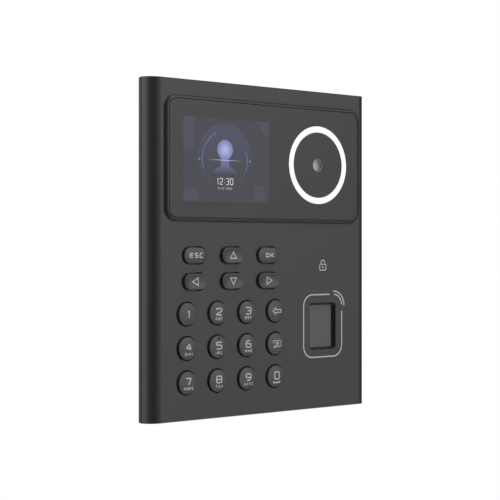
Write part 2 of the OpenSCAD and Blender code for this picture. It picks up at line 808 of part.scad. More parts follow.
module speaker() color([0.1, 0.1, 0.1]) facing() translate([speaker_x, 2.4 - box_h / 2, 4.4])
    difference() {
        translate([-14, 0, 0]) cube([28, 5, 7]);
        translate([0, 0, 3.5]) rotate([90, 0, 0]) linear_extrude(2, center = true) stadium(24, 5);
    }

module tamper_switch() color(dark_colour) facing() translate([tamper_at[0], tamper_at[1], 0])
    slab(8, 8, 0.6, tamper_len + 0.2, main_back);

module tamper_plunger() color([0.9, 0.88, 0.8]) facing() translate([tamper_at[0], tamper_at[1], 0]) {
    rod(tamper_r, 0.05, tamper_len);
    rod(tamper_collar_r, tamper_collar_back, tamper_collar_back + 1);
}

// A shrouded header that opens towards the wall
module header(size) {
    difference() {
        slab(size[0], size[1], 0.3, header_back, main_back);
        slab(size[0] - 2 * header_wall, size[1] - 2 * header_wall, 0.2, header_back - 1,
            main_back - 1.4);
        translate([0, size[1] / 2, header_back]) cube([size[0] / 3, 3, 3], center = true);
    }
}

module rear_headers() color([0.92, 0.9, 0.84]) facing() {
    at_small_headers() header(small_header);
    at_wide_headers() header(wide_header);
}

module header_pins() color([0.8, 0.68, 0.3]) facing() {
    pitch = 2;
    out = (header_back + 0.8 + main_back - 1.4) / 2;
    len = main_back - 1.4 - header_back - 0.8;
    at_small_headers() for (i = [-1.5:1:1.5])
        translate([i * pitch, 0, out]) cube([pin_side, pin_side, len], center = true);
    at_wide_headers() for (i = [-3.5:1:3.5])
        translate([i * pitch, 0, out]) cube([pin_side, pin_side, len], center = true);
}

module wall_plate() color(steel_colour) facing() difference() {
    flange_top = -box_h / 2 - flange_gap;
    union() {
        slab(plate_w, plate_h, 4, 0, plate_t);
        translate([-flange_w / 2, flange_top - plate_t, 0])
            cube([flange_w, plate_t + 6, plate_t]);
        translate([-flange_w / 2, flange_top - plate_t, 0])
            cube([flange_w, plate_t, flange_out]);
        for (s = [-1, 1]) translate([s * hook_x - hook_w / 2, hook_up, 0]) {
            cube([hook_w, plate_t, hook_lip_front]);
            translate([0, 0, hook_lip_back]) cube([hook_w, hook_rise, hook_lip_front - hook_lip_back]);
        }
    }
    translate([0, bay_up, 0]) slab(bay_w + 2, bay_h + 2, 3, -1, plate_t + 1);
    translate([0, label_up, 0]) slab(label_size[0] + 6, label_size[1] + 6, 3, -1, plate_t + 1);
    at_wall_screws() rod(wall_hole_r, -1, plate_t + 1);
    translate([tamper_at[0], tamper_at[1], 0]) rod(tamper_r + 0.6, -1, plate_t + 1);
    translate([0, flange_top - plate_t - 1, lock_out]) rotate([-90, 0, 0])
        cylinder(r = lock_hole_r, h = plate_t + 2);
}

module locking_screw() color(steel_colour) facing()
    translate([0, -box_h / 2 - flange_gap - plate_t, lock_out]) rotate([-90, 0, 0]) difference() {
        union() {
            rod(2.75, -1.9, -0.02);
            rod(lock_shaft_r, -0.5, 7);
        }
        translate([0, 0, -2]) cylinder(r = 1.2, h = 1.2, $fn = 6);
    }

module housing_screws() color(steel_colour) facing() at_corners(case_screw)
    translate([0, 0, rim_back]) screw(case_head_r, case_head_t, case_shaft_r, case_len);

module internal_screws() color([0.6, 0.6, 0.62]) facing() {
    at_posts() translate([0, 0, keypad_back]) small_screw();
    at_display_ears() translate([0, 0, holder_back]) small_screw();
    at_ring_ears() translate([0, 0, ring_board_back]) small_screw();
    at_standoffs() translate([0, 0, main_front]) mirror([0, 0, 1]) small_screw();
}

module rating_label() color([0.85, 0.85, 0.85]) facing() translate([0, label_up, 0])
    slab(label_size[0], label_size[1], 1.5, cover_back - 0.15, cover_back);

front_shell();
mid_frame();
rear_cover();
housing_seal();
window_bezel();
window_glass();
window_mask();
display_panel();
display_holder();
display_flex();
ring_diffuser();
ring_light_board();
ring_leds();
camera_shroud();
camera_lens();
camera_barrel();
camera_holder();
camera_board();
key_esc();
key_up();
key_ok();
key_left();
key_down();
key_right();
key_1();
key_2();
key_3();
key_back();
key_4();
key_5();
key_6();
key_menu();
key_7();
key_8();
key_9();
key_0();
keypad_mat();
key_domes();
keypad_board();
fingerprint_platen();
fingerprint_frame();
fingerprint_module();
fingerprint_flex();
card_antenna();
main_board();
processor_shield();
door_relay();
capacitors();
battery_holder();
clock_battery();
speaker();
tamper_switch();
tamper_plunger();
rear_headers();
header_pins();
wall_plate();
locking_screw();
housing_screws();
internal_screws();
rating_label();
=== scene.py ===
"""Wall terminal with a screen, a ring-lit camera, a keypad and a fingerprint reader.

Shapes are drawn facing the reader, in millimetres: x to the right, u up and o out of the wall.
"""
import json
import math
import bpy
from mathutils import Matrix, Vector
from mathutils.geometry import tessellate_polygon


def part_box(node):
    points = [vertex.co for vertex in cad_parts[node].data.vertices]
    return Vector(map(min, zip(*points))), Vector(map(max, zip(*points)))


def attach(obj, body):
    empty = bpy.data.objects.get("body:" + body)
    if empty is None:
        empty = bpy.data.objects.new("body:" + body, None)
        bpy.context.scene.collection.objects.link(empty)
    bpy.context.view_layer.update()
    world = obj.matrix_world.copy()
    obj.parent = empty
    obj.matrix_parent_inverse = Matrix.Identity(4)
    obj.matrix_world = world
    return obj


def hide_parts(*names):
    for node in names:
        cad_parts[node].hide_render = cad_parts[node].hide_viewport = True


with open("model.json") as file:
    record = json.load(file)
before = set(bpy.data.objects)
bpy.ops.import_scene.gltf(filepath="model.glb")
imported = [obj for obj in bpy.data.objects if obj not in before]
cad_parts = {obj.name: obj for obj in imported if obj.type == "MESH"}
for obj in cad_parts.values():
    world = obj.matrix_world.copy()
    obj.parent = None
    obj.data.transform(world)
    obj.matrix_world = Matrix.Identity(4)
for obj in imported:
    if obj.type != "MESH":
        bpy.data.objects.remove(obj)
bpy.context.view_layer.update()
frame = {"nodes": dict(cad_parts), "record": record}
MM = 0.001
ROOT = "terminal"


def node_box(node):
    """A node's box in millimetres, as its lowest and highest (x, u, o)."""
    low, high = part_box(node)
    return ((low[0] / MM, low[2] / MM, -high[1] / MM), (high[0] / MM, high[2] / MM, -low[1] / MM))


def middle(node):
    """The middle of a node's box, as (x, u)."""
    low, high = node_box(node)
    return (low[0] + high[0]) / 2, (low[1] + high[1]) / 2


# ---------------------------------------------------------------- materials

def new_material(name):
    """A new material, its node tree and its shader."""
    mat = bpy.data.materials.new(name)
    mat.use_nodes = True
    return mat, mat.node_tree, mat.node_tree.nodes["Principled BSDF"]


def mottled(name, low, high, rough, size, bump=0.0, grain=0.25, metallic=0.0, coat=0.0,
            glow=None, stretch=(1, 1, 1), specular=0.5):
    """A solid material: two tones in soft blotches of size mm, with a fine grain of grain mm."""
    mat, tree, shader = new_material(name)
    nodes, links = tree.nodes, tree.links
    place = nodes.new("ShaderNodeTexCoord")
    scale = nodes.new("ShaderNodeMapping")
    scale.inputs["Scale"].default_value = stretch
    links.new(place.outputs["Object"], scale.inputs["Vector"])
    blotch = nodes.new("ShaderNodeTexNoise")
    blotch.inputs["Scale"].default_value = 1 / (size * MM)
    blotch.inputs["Detail"].default_value = 3
    links.new(scale.outputs["Vector"], blotch.inputs["Vector"])
    tone = nodes.new("ShaderNodeMix")
    tone.data_type = "RGBA"
    tone.inputs["A"].default_value = (*low, 1)
    tone.inputs["B"].default_value = (*high, 1)
    links.new(blotch.outputs["Fac"], tone.inputs["Factor"])
    links.new(tone.outputs["Result"], shader.inputs["Base Color"])
    spread = nodes.new("ShaderNodeMapRange")
    spread.inputs["To Min"].default_value, spread.inputs["To Max"].default_value = rough
    links.new(blotch.outputs["Fac"], spread.inputs["Value"])
    links.new(spread.outputs["Result"], shader.inputs["Roughness"])
    shader.inputs["Metallic"].default_value = metallic
    shader.inputs["Specular IOR Level"].default_value = specular
    shader.inputs["Coat Weight"].default_value = coat
    shader.inputs["Coat Roughness"].default_value = 0.08
    if bump:
        fine = nodes.new("ShaderNodeTexNoise")
        fine.inputs["Scale"].default_value = 1 / (grain * MM)
        fine.inputs["Detail"].default_value = 2
        links.new(scale.outputs["Vector"], fine.inputs["Vector"])
        relief = nodes.new("ShaderNodeBump")
        relief.inputs["Strength"].default_value = bump
        relief.inputs["Distance"].default_value = 0.02 * MM
        links.new(fine.outputs["Fac"], relief.inputs["Height"])
        links.new(relief.outputs["Normal"], shader.inputs["Normal"])
    if glow:
        shader.inputs["Emission Color"].default_value = (*glow, 1)
        shader.inputs["Emission Strength"].default_value = 1
    return mat


def grey(byte):
    """Linear value of an sRGB grey from 0 to 255."""
    c = byte / 255
    return c / 12.92 if c <= 0.04045 else ((c + 0.055) / 1.055) ** 2.4


def tint(r, g, b):
    return grey(r), grey(g), grey(b)


def same(value):
    return value, value, value


def around(colour, spread):
    """Two tones a little darker and lighter than a colour."""
    return [tuple(c * (1 - spread) for c in colour), tuple(c * (1 + spread) for c in colour)]


HOUSING = mottled("housing", *around(same(0.034), 0.1), (0.34, 0.40), 9, bump=0.25)
KEYCAP = mottled("keycap", *around(same(0.066), 0.1), (0.36, 0.42), 3, bump=0.15)
PANEL = mottled("window_print", *around(same(0.020), 0.05), (0.30, 0.34), 14, bump=0.06)
# Painted shade: the finger recess's liner is darker than the housing to stand in for the shadow inside
# the recess.
RECESS_SHADE = mottled("well", *around(same(0.018), 0.2), (0.30, 0.38), 4, bump=0.1)
SENSOR = mottled("sensor", *around(same(0.092), 0.1), (0.30, 0.36), 3, bump=0.1)
LEGEND = mottled("legend", *around(same(grey(206)), 0.04), (0.5, 0.6), 1)
# The lens and its tube glow faintly, which sets their tone in the render. Real ones do not.
LENS_TUBE = mottled("lens_tube", *around(same(0.36), 0.1), (0.4, 0.5), 2, bump=0.1,
                    glow=same(0.04))
LENS = mottled("lens", *around(same(0.4), 0.08), (0.42, 0.5), 1.5, glow=same(0.1))
RING = mottled("ring_light", same(0.1), same(0.12), (0.5, 0.6), 2, glow=same(0.9))
NIB = mottled("nib", same(0.004), same(0.006), (0.7, 0.8), 1, specular=0.05)
SEAL = mottled("seal", same(0.008), same(0.014), (0.6, 0.7), 2, bump=0.2)
BLACK = mottled("black_plastic", same(0.012), same(0.018), (0.4, 0.5), 4, bump=0.3)
WHITE = mottled("white_plastic", (0.62, 0.6, 0.54), (0.7, 0.68, 0.62), (0.4, 0.5), 4, bump=0.2)
SILICONE = mottled("silicone", same(0.2), same(0.26), (0.6, 0.7), 4, bump=0.3)
STEEL = mottled("zinc_steel", (0.5, 0.51, 0.52), (0.66, 0.66, 0.64), (0.26, 0.42), 7, bump=0.35,
                grain=0.4, metallic=1, stretch=(1, 1, 0.12))
SCREW = mottled("screw_steel", same(0.42), same(0.55), (0.28, 0.36), 1.5, bump=0.2, metallic=1)
GOLD = mottled("gold_pin", (0.68, 0.46, 0.14), (0.8, 0.58, 0.2), (0.2, 0.3), 1, metallic=1)
BOARD = mottled("solder_mask", (0.008, 0.09, 0.03), (0.012, 0.14, 0.05), (0.25, 0.35), 2.2,
                bump=0.5, grain=0.9, coat=0.3)
WHITE_BOARD = mottled("white_mask", same(0.7), same(0.78), (0.3, 0.4), 3, bump=0.2)
RIBBON = mottled("ribbon", (0.42, 0.2, 0.03), (0.5, 0.26, 0.05), (0.25, 0.35), 2, bump=0.2)
BLUE = mottled("antenna_mask", (0.012, 0.04, 0.12), (0.02, 0.06, 0.17), (0.3, 0.4), 3, bump=0.3)
CAN = mottled("capacitor_sleeve", same(0.3), same(0.36), (0.25, 0.35), 3, metallic=0.8)
PAPER = mottled("blank_label", same(0.6), same(0.66), (0.5, 0.6), 5, bump=0.1)

SLOT_MATERIAL = {
    "housing": HOUSING, "keycap": KEYCAP, "seal": SEAL, "glass": PANEL, "print": PANEL,
    "display": BLACK, "diffuser": RING, "lamp": RING, "lens": LENS, "black_plastic": BLACK,
    "white_plastic": WHITE, "silicone": SILICONE, "steel": STEEL, "gold": GOLD, "board": BOARD,
    "white_board": WHITE_BOARD, "flex": RIBBON, "sensor": SENSOR, "antenna": BLUE, "can": CAN,
    "label": PAPER,
}
NODE_MATERIAL = {"camera_shroud": LENS_TUBE, "housing_screws": SCREW, "internal_screws": SCREW,
                 "locking_screw": SCREW}

for part in frame["record"]["subparts"]:
    shown = frame["nodes"][part["node"]]
    shown.data.materials.clear()
    shown.data.materials.append(NODE_MATERIAL.get(part["node"], SLOT_MATERIAL[part["material_slot"]]))


# ---------------------------------------------------------------- forms

def rounded_loop(w, h, r, at=(0, 0), o=0.0, turn=10):
    """A rounded rectangle's outline, anticlockwise, with the same number of points for any size."""
    r = min(r, w / 2, h / 2)
    loop = []
    for sx, sy, start in ((1, 1, 0), (-1, 1, 90), (-1, -1, 180), (1, -1, 270)):
        for i in range(turn + 1):
            a = math.radians(start + 90 * i / turn)
            loop.append((at[0] + sx * (w / 2 - r) + r * math.cos(a),
                         at[1] + sy * (h / 2 - r) + r * math.sin(a), o))
    return loop


def circle_loop(r, at, o, count=72):
    """A circle's outline, anticlockwise."""
    return [(at[0] + r * math.cos(2 * math.pi * i / count),
             at[1] + r * math.sin(2 * math.pi * i / count), o) for i in range(count)]


class Form:
    """Gathers one piece's mesh."""

    def __init__(self):
        self.verts, self.faces, self.slots = [], [], []

    def add(self, verts, faces, slot=0):
        start = len(self.verts)
        self.verts += verts
        self.faces += [tuple(start + i for i in face) for face in faces]
        self.slots += [slot] * len(faces)

    def loft(self, loops, slot=0, back=True, front=True):
        """Skins a row of outlines from back to front, and closes its ends."""
        count = len(loops[0])
        verts = [p for loop in loops for p in loop]
        faces = []
        for k in range(len(loops) - 1):
            for i in range(count):
                j = (i + 1) % count
                faces.append((k * count + i, k * count + j, (k + 1) * count + j, (k + 1) * count + i))
        if back:
            faces.append(tuple(reversed(range(count))))
        if front:
            faces.append(tuple(range(len(verts) - count, len(verts))))
        self.add(verts, faces, slot)

    def sheet(self, outer, holes=(), slot=0, away=False):
        """A flat face with holes, facing the reader or away from the reader."""
        loops = [[Vector(p) for p in loop] for loop in (outer, *holes)]
        verts = [tuple(p) for loop in loops for p in loop]
        faces = []
        for a, b, c in tessellate_polygon(loops):
            ab, ac = Vector(verts[b]) - Vector(verts[a]), Vector(verts[c]) - Vector(verts[a])
            if abs(ab.cross(ac).z) > 1e-9:
                faces.append((a, b, c) if (ab.cross(ac).z > 0) != away else (a, c, b))
        self.add(verts, faces, slot)

    def strips(self, lines, width, lift, slot=0):
        """Flat strokes along polylines. lift(x, u) gives the surface that they lie on."""
        for closed, points in lines:
            self.strip(points, width, lift, closed, slot)

    def strip(self, points, width, lift, closed, slot):
        path = divided(points, closed)
        count = len(path)
        sides = []
        for i, p in enumerate(path):
            before = path[i - 1] if closed or i else p
            after = path[(i + 1) % count] if closed or i < count - 1 else p
            one, two = unit(before, p) or unit(p, after), unit(p, after) or unit(before, p)
            mitre = (one[0] + two[0], one[1] + two[1])
            length = math.hypot(*mitre) or 1
            normal = (-mitre[1] / length, mitre[0] / length)
            stretch = width / 2 / max(0.45, -one[1] * normal[0] + one[0] * normal[1])
            for side in (1, -1):
                x, u = p[0] + side * normal[0] * stretch, p[1] + side * normal[1] * stretch
                sides.append((x, u, lift(x, u)))
        spans = count if closed else count - 1
        faces = []
        for i in range(spans):
            j = (i + 1) % count
            faces.append((2 * i + 1, 2 * j + 1, 2 * j, 2 * i))
        self.add(sides, faces, slot)

    def finish(self, name, materials, body=ROOT, replaces=(), slot=None, sharp=32):
        """Makes the object in the row frame, in metres."""
        mesh = bpy.data.meshes.new(name)
        mesh.from_pydata([(x * MM, -o * MM, u * MM) for x, u, o in self.verts], [], self.faces)
        for mat in materials:
            mesh.materials.append(mat)
        for face, index in zip(mesh.polygons, self.slots):
            face.material_index = index
            face.use_smooth = True
        mesh.set_sharp_from_angle(angle=math.radians(sharp))
        mesh.validate()
        obj = bpy.data.objects.new(name, mesh)
        bpy.context.scene.collection.objects.link(obj)
        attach(obj, body)
        if replaces:
            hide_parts(*replaces)
        return obj


def unit(a, b):
    """The direction from a to b, or None where they meet."""
    d = math.hypot(b[0] - a[0], b[1] - a[1])
    return ((b[0] - a[0]) / d, (b[1] - a[1]) / d) if d > 1e-9 else None


def divided(points, closed, step=0.6):
    """The polyline with points no further than step apart."""
    out = []
    spans = len(points) if closed else len(points) - 1
    for i in range(spans):
        a, b = points[i], points[(i + 1) % len(points)]
        n = max(1, math.ceil(math.hypot(b[0] - a[0], b[1] - a[1]) / step))
        out += [(a[0] + (b[0] - a[0]) * k / n, a[1] + (b[1] - a[1]) * k / n) for k in range(n)]
    return out if closed else out + [points[-1]]


def eased(points, r, closed, n=4):
    """The polyline with its corners rounded off."""
    if r <= 0:
        return list(points)
    out = []
    last = len(points) - 1
    for i, p in enumerate(points):
        if not closed and i in (0, last):
            out.append(p)
            continue
        a, b = points[i - 1], points[(i + 1) % len(points)]
        ua, ub = unit(p, a), unit(p, b)
        cut = min(r, math.dist(p, a) / 2, math.dist(p, b) / 2)
        start = (p[0] + ua[0] * cut, p[1] + ua[1] * cut)
        end = (p[0] + ub[0] * cut, p[1] + ub[1] * cut)
        for k in range(n + 1):
            t = k / n
            out.append(tuple((1 - t) ** 2 * start[m] + 2 * t * (1 - t) * p[m] + t * t * end[m]
                             for m in (0, 1)))
    return out


# ---------------------------------------------------------------- lettering

# Strokes of each sign in a box from -1 to 1, as (closed, points). Corners are eased when drawn.
BOX = [(-1, -1), (1, -1), (1, 1), (-1, 1)]
SIGNS = {
    "0": [(True, BOX)],
    "1": [(False, [(-0.8, 0.6), (0.2, 1), (0.2, -1)])],
    "2": [(False, [(-1, 0.55), (-1, 1), (1, 1), (1, 0.15), (-1, -0.7), (-1, -1), (1, -1)])],
    "3": [(False, [(-1, 1), (1, 1), (1, -1), (-1, -1)]), (False, [(-0.3, 0), (0.9, 0)])],
    "4": [(False, [(0.45, -1), (0.45, 1), (-1, -0.35), (1, -0.35)])],
    "5": [(False, [(1, 1), (-1, 1), (-1, 0.1), (1, 0.1), (1, -1), (-1, -1)])],
    "6": [(False, [(0.6, 1), (-0.5, 1), (-1, 0.3), (-1, -1), (1, -1), (1, 0.1), (-0.9, 0.1)])],
    "7": [(False, [(-1, 1), (1, 1), (-0.2, -1)])],
    "8": [(True, BOX), (False, [(-0.9, 0), (0.9, 0)])],
    "9": [(False, [(-0.6, -1), (0.5, -1), (1, -0.3), (1, 1), (-1, 1), (-1, -0.1), (0.9, -0.1)])],
    "A": [(False, [(-1, -1), (-0.3, 1), (0.3, 1), (1, -1)]), (False, [(-0.7, -0.4), (0.7, -0.4)])],
    "B": [(True, BOX), (False, [(-1, 0), (1, 0)])],
    "C": [(False, [(1, 1), (-1, 1), (-1, -1), (1, -1)])],
    "D": [(True, [(-1, -1), (0.6, -1), (1, -0.5), (1, 0.5), (0.6, 1), (-1, 1)])],
    "E": [(False, [(1, 1), (-1, 1), (-1, -1), (1, -1)]), (False, [(-1, 0), (0.8, 0)])],
    "F": [(False, [(1, 1), (-1, 1), (-1, -1)]), (False, [(-1, 0), (0.8, 0)])],
    "G": [(False, [(1, 1), (-1, 1), (-1, -1), (1, -1), (1, 0), (0.1, 0)])],
    "H": [(False, [(-1, 1), (-1, -1)]), (False, [(1, 1), (1, -1)]), (False, [(-1, 0), (1, 0)])],
    "I": [(False, [(0, 1), (0, -1)])],
    "J": [(False, [(1, 1), (1, -1), (-1, -1), (-1, -0.4)])],
    "K": [(False, [(-1, 1), (-1, -1)]), (False, [(1, 1), (-0.6, 0), (1, -1)])],
    "L": [(False, [(-1, 1), (-1, -1), (1, -1)])],
    "M": [(False, [(-1, -1), (-1, 1), (0, -0.2), (1, 1), (1, -1)])],
    "N": [(False, [(-1, -1), (-1, 1), (1, -1), (1, 1)])],
    "O": [(True, BOX)],
    "P": [(False, [(-1, -1), (-1, 1), (1, 1), (1, -0.1), (-1, -0.1)])],
    "Q": [(True, BOX), (False, [(0.2, -0.3), (1, -1.1)])],
    "R": [(False, [(-1, -1), (-1, 1), (1, 1), (1, 0), (-1, 0)]), (False, [(0.1, 0), (1, -1)])],
    "S": [(False, [(1, 1), (-1, 1), (-1, 0), (1, 0), (1, -1), (-1, -1)])],
    "T": [(False, [(-1, 1), (1, 1)]), (False, [(0, 1), (0, -1)])],
    "U": [(False, [(-1, 1), (-1, -1), (1, -1), (1, 1)])],
    "V": [(False, [(-1, 1), (0, -1), (1, 1)])],
    "W": [(False, [(-1, 1), (-0.55, -1), (0, 0.4), (0.55, -1), (1, 1)])],
    "X": [(False, [(-1, 1), (1, -1)]), (False, [(-1, -1), (1, 1)])],
    "Y": [(False, [(-1, 1), (0, 0), (1, 1)]), (False, [(0, 0), (0, -1)])],
    "Z": [(False, [(-1, 1), (1, 1), (-1, -1), (1, -1)])],
    ":": [(False, [(0, 0.35), (0, 0.6)]), (False, [(0, -0.6), (0, -0.35)])],
    "-": [(False, [(-0.7, 0), (0.7, 0)])],
}
NARROW = {"I": 0.3, "1": 0.55, ":": 0.35}


def writing(text, at, width, height, stroke, gap=0.45):
    """The strokes of a word centred at a point. width and height are the whole word's."""
    weights = [NARROW.get(c, 1) for c in text]
    cell = width / (sum(weights) + gap * (len(text) - 1))
    x = at[0] - width / 2
    lines = []
    for c, weight in zip(text, weights):
        half_w, half_h = max(weight * cell - stroke, 0.01) / 2, (height - stroke) / 2
        mid = x + weight * cell / 2
        for closed, points in SIGNS[c]:
            placed = [(mid + px * half_w, at[1] + py * half_h) for px, py in points]
            lines.append((closed, eased(placed, 0.5 * min(half_w, half_h), closed)))
        x += weight * cell + gap * cell
    return lines


def outline(points, at, scale=1.0, ease=0.0, closed=True):
    """A shape's points, scaled and moved to a place, as one stroke."""
    placed = [(at[0] + scale * px, at[1] + scale * py) for px, py in points]
    return closed, eased(placed, ease, closed)


# ---------------------------------------------------------------- keys

# Key tops stay this far inside the CAD keys, so that the ink on them does too
KEY_FRONT = node_box("key_5")[1][2] - 0.03
KEY_FLANGE = 1.35
KEY_FLANGE_T = 0.8
KEY_EDGE = 0.32
KEY_CROWN = 0.42
DISH_RIM = 0.62
DISH_DEPTH = 0.42
INK = 0.012


def crowned(inset, half):
    """Height of a domed key's top at a distance in from its edge."""
    return KEY_FRONT - KEY_CROWN * ((half - inset) / half) ** 2


def dished(inset, half):
    """Height of a hollowed key's top at a distance in from its edge."""
    if inset < DISH_RIM:
        return KEY_FRONT
    t = (half - inset) / (half - DISH_RIM)
    return KEY_FRONT - DISH_DEPTH * (1 - t * t)


def key_form(w, h, at, top, back):
    """A key cap with a flange at its foot, an eased top edge and a shaped top."""
    form, half = Form(), h / 2

    def loop(inset, o):
        return rounded_loop(w - 2 * inset, h - 2 * inset, half - inset, at, o)

    loops = [loop(-KEY_FLANGE, back), loop(-KEY_FLANGE, back + KEY_FLANGE_T),
             loop(0, back + KEY_FLANGE_T)]
    low = top(KEY_EDGE, half) - KEY_EDGE
    for i in range(6):
        a = math.radians(90 * i / 5)
        loops.append(loop(KEY_EDGE * (1 - math.cos(a)), low + KEY_EDGE * math.sin(a)))
    steps = 9
    for i in range(1, steps + 1):
        inset = KEY_EDGE + (half - 0.06 - KEY_EDGE) * i / steps
        loops.append(loop(inset, top(inset, half)))
    if top is dished:
        loops.insert(-steps, loop(DISH_RIM - 0.04, top(0, half)))
        loops.insert(-steps, loop(DISH_RIM + 0.04, top(DISH_RIM + 0.1, half)))
    form.loft(loops)
    return form


def make_key(name, lines, width, extra=None):
    """A key over its CAD node, with its legend printed on the top."""
    node = "key_" + name
    low, high = node_box(node)
    at = middle(node)
    w, h = high[0] - low[0] - 2 * KEY_FLANGE, high[1] - low[1] - 2 * KEY_FLANGE
    top = dished if name in ("up", "down", "left", "right") else crowned
    form = key_form(w, h, at, top, low[2])

    def lift(x, u):
        along = max(0.0, abs(x - at[0]) - (w - h) / 2)
        inset = h / 2 - math.hypot(along, u - at[1])
        return top(max(inset, 0), h / 2) + INK

    form.strips(lines(at), width, lift, 1)
    if extra:
        extra(form, at, lift)
    form.finish(node, [KEYCAP, LEGEND, NIB], body=node + "_cap", replaces=(node,), slot="keycap")


def number_legend(digit, letters):
    """A digit key's strokes: the digit, raised where letters stand under it, or 0 over a bracket."""
    def lines(at):
        out = []
        if digit == "0":
            out += writing("0", (at[0] + 0.25, at[1] + 0.4), 3.2, 3.6, 0.4)
            out.append((False, [(at[0] - 1.7, at[1] - 2.2), (at[0] - 1.7, at[1] - 2.8),
                                (at[0] + 2.1, at[1] - 2.8), (at[0] + 2.1, at[1] - 2.2)]))
            return out
        raised = 0.6 if letters else 0.0
        out += writing(digit, (at[0] + 0.15, at[1] + raised), 1.7 if digit == "1" else 3.4, 3.4, 0.5)
        return out
    return lines


def letter_extra(letters, nib=False):
    """The small letters under a digit, and the dark dot that marks the 5."""
    def extra(form, at, lift):
        if letters:
            wide = 5.2 if len(letters) == 4 else 4.2
            form.strips(writing(letters, (at[0] + 0.2, at[1] - 2.5), wide, 1.35, 0.27), 0.27, lift, 1)
        if nib:
            loop = circle_loop(0.5, (at[0] + 0.15, at[1] + 3.75), 0, 20)
            form.sheet([(x, u, lift(x, u) + 0.01) for x, u, _ in loop], (), 2)
    return extra


ARROW = [(-2.8, 0), (-0.9, 1.7), (-0.9, 0.75), (2.8, 0.75), (2.8, -0.75), (-0.9, -0.75), (-0.9, -1.7)]
TRIANGLE = {
    "up": [(-2.0, -1.6), (2.0, -1.6), (0, 1.7)],
    "down": [(2.0, 1.6), (-2.0, 1.6), (0, -1.7)],
    "left": [(1.3, -1.95), (1.3, 1.95), (-2.3, 0)],
    "right": [(-1.6, 1.95), (-1.6, -1.95), (2.0, 0)],
}


def menu_lines(at):
    """A looped arrow round three short lines."""
    x, u = at[0] + 0.4, at[1]
    loop = [(x - 2.4, u + 0.2), (x - 2.4, u + 1.4), (x + 2.4, u + 1.4), (x + 2.4, u - 1.4),
            (x - 1.8, u - 1.4)]
    head = [(x - 1.2, u - 0.7), (x - 2.1, u - 1.4), (x - 1.2, u - 2.1)]
    lines = [(False, eased(loop, 0.7, False)), (False, head)]
    return lines + [(False, [(x - 1.1, u + k), (x + 1.1, u + k)]) for k in (0.65, 0, -0.65)]


for number, letters in (("1", ""), ("2", "ABC"), ("3", "DEF"), ("4", "GHI"), ("5", "JKL"),
                        ("6", "MNO"), ("7", "PQRS"), ("8", "TUV"), ("9", "WXYZ"), ("0", "")):
    make_key(number, number_legend(number, letters), 0.55, letter_extra(letters, number == "5"))
make_key("back", lambda at: [outline(ARROW, (at[0] + 0.3, at[1]), 0.86)], 0.42)
make_key("menu", menu_lines, 0.32)
make_key("esc", lambda at: writing("ESC", (at[0] + 0.2, at[1]), 7.6, 2.3, 0.48, 0.3), 0.48)
make_key("ok", lambda at: writing("OK", (at[0] + 0.3, at[1]), 5.0, 2.1, 0.48, 0.3), 0.48)
for way, corners in TRIANGLE.items():
    make_key(way, lambda at, corners=corners: [outline(corners, (at[0] + 0.2, at[1]), 0.86)], 0.44)


# ---------------------------------------------------------------- window, screen and camera

FACE = node_box("front_shell")[1][2]
FRONT = node_box("window_bezel")[1][2]
CAMERA = middle("camera_lens")
HOLE_R = 3.1


def make_window_frame():
    """The raised frame: a quarter round edge, a flat band and the wall of the groove."""
    low, high = node_box("window_bezel")
    glass_low, glass_high = node_box("window_glass")
    at, w, h, r = middle("window_bezel"), high[0] - low[0], high[1] - low[1], 6.0
    soft, groove, lap, break_edge = 1.3, 0.2, 0.75, 0.08
    groove_depth, ledge, groove_r, ledge_r = 1.6, 2.5, 4.2, 2.5
    inner_w = glass_high[0] - glass_low[0] + 2 * groove
    inner_h = glass_high[1] - glass_low[1] + 2 * groove
    form = Form()
    loops = [rounded_loop(w - 2 * lap, h - 2 * lap, r - lap, at, low[2]),
             rounded_loop(w - 2 * lap, h - 2 * lap, r - lap, at, FACE + 0.02),
             rounded_loop(w, h, r, at, FACE + 0.02)]
    for i in range(9):
        a = math.radians(90 * i / 8)
        inset = soft * (1 - math.cos(a))
        o = FRONT - soft + soft * math.sin(a)
        loops.append(rounded_loop(w - 2 * inset, h - 2 * inset, r - inset, at, o))
    loops.append(rounded_loop(inner_w + 2 * break_edge, inner_h + 2 * break_edge,
                              groove_r + break_edge, at, FRONT))
    for o in (FRONT - break_edge, FRONT - groove_depth):
        loops.append(rounded_loop(inner_w, inner_h, groove_r, at, o))
    for o in (FRONT - groove_depth - 0.1, low[2]):
        loops.append(rounded_loop(inner_w - 2 * ledge, inner_h - 2 * ledge, ledge_r, at, o))
    form.loft(loops + [loops[0]], back=False, front=False)
    form.finish("window_frame", [HOUSING], replaces=("window_bezel",), slot="housing")


def make_window_panel():
    """The printed glass, with eased edges and the camera's sight hole."""
    low, high = node_box("window_glass")
    at, w, h = middle("window_glass"), high[0] - low[0], high[1] - low[1]
    front = FRONT - 0.06
    form = Form()
    edge = [rounded_loop(w, h, 4, at, low[2]), rounded_loop(w, h, 4, at, front - 0.12),
            rounded_loop(w - 0.1, h - 0.1, 3.95, at, front - 0.03),
            rounded_loop(w - 0.24, h - 0.24, 3.88, at, front)]
    form.loft(edge, front=False, back=False)
    form.sheet(edge[0], [circle_loop(HOLE_R, CAMERA, low[2])], away=True)
    form.sheet(edge[-1], [circle_loop(HOLE_R + 0.12, CAMERA, front)])
    rim = [circle_loop(HOLE_R + 0.12, CAMERA, front), circle_loop(HOLE_R, CAMERA, front - 0.12)]
    form.loft(rim, front=False, back=False)
    form.loft([circle_loop(HOLE_R, CAMERA, front - 0.12), circle_loop(HOLE_R, CAMERA, low[2])],
              1, front=False, back=False)
    form.finish("window_panel", [PANEL, LENS_TUBE], replaces=("window_glass",), slot="glass")


